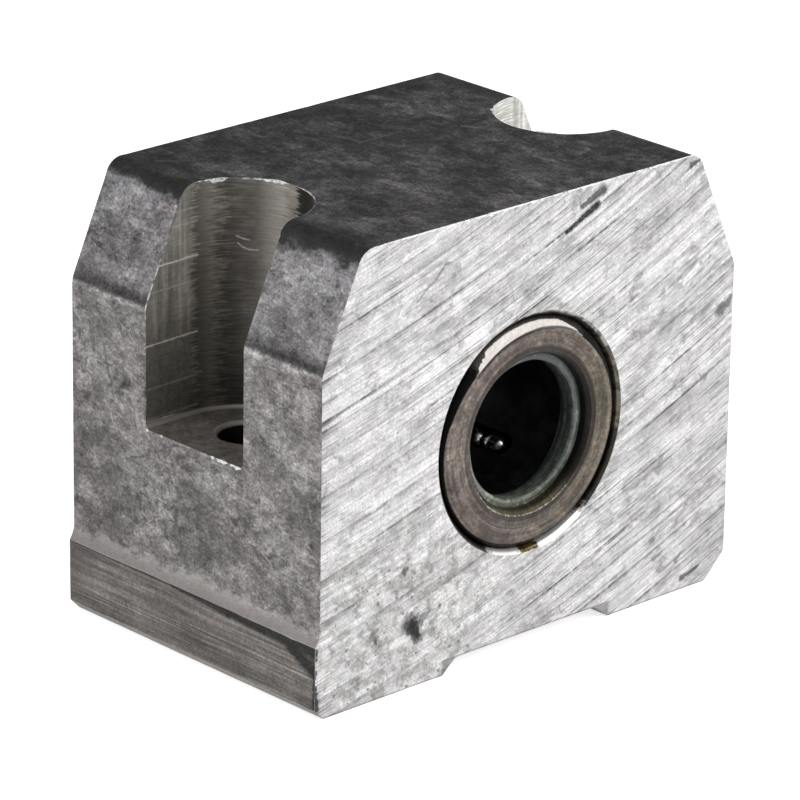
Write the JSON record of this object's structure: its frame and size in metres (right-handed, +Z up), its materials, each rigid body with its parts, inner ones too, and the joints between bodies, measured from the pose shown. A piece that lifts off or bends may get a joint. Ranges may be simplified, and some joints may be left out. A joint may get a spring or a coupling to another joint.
{
  "type": "linear bearing block",
  "caption": "Compact linear bearing block: a sawn aluminium housing with open bolt slots holds a sealed ball bush that slides along a round shaft.",
  "frame": {"origin": "middle of the base, on the mounting plane under the shaft", "axes": "+Z up from the mounting plane, +Y along the shaft, the machined reference side faces -X"},
  "size_m": [0.04, 0.026, 0.033],
  "materials": {
    "housing_aluminium": "sawn ends, weathered extrusion skin, milled slots",
    "sleeve_steel": "drawn and ground, brown from use",
    "cage_plastic": "moulded, black with grease",
    "seal_rubber": "moulded, oily",
    "ball_steel": "polished"
  },
  "bodies": {
    "root": {"housing": "housing_aluminium", "bearing_sleeve": "sleeve_steel", "ball_cage": "cage_plastic", "front_seal": "seal_rubber", "rear_seal": "seal_rubber", "ball_circuit_1": "ball_steel", "ball_circuit_2": "ball_steel", "ball_circuit_3": "ball_steel", "ball_circuit_4": "ball_steel"}
  },
  "joints": []
}
